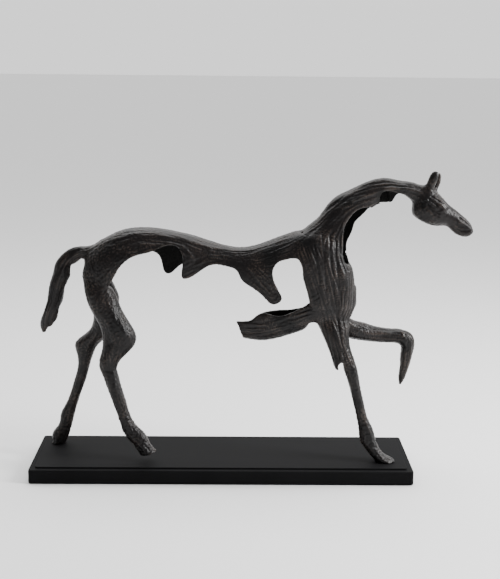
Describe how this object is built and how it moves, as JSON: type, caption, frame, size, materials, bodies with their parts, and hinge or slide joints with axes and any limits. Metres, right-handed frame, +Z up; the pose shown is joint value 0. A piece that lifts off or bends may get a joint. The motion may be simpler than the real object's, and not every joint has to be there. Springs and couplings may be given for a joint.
{
  "type": "horse statue",
  "caption": "Striding abstract horse with a partly hollow, torn body on a low rectangular plinth, a table-top ornament that stands on a flat base.",
  "frame": {"origin": "centre of the underside of the felt sheet, on the surface that the statue stands on", "axes": "+X is the way the horse faces, along the plinth's length; +Z is up; -Y is the side of the standing foreleg"},
  "size_m": [0.5535, 0.138, 0.39],
  "materials": {
    "bronze": "dark brown-black patinated cast bronze, carved grooves, worn warmer on the ridges",
    "plinth": "satin black painted wood",
    "felt": "black felt",
    "steel": "zinc plated steel"
  },
  "bodies": {
    "root": {"base_slab": "plinth", "felt_sheet": "felt", "back_shell": "bronze", "barrel_shell": "bronze", "chest_shell": "bronze", "belly_shell": "bronze", "neck_shell": "bronze", "head": "bronze", "near_ear": "bronze", "far_ear": "bronze", "tail": "bronze", "near_hind_leg": "bronze", "far_hind_leg": "bronze", "near_front_leg": "bronze", "far_front_leg": "bronze", "hind_stud": "steel", "hind_washer": "steel", "hind_spring_washer": "steel", "hind_nut": "steel", "front_stud": "steel", "front_washer": "steel", "front_spring_washer": "steel", "front_nut": "steel"}
  },
  "joints": []
}
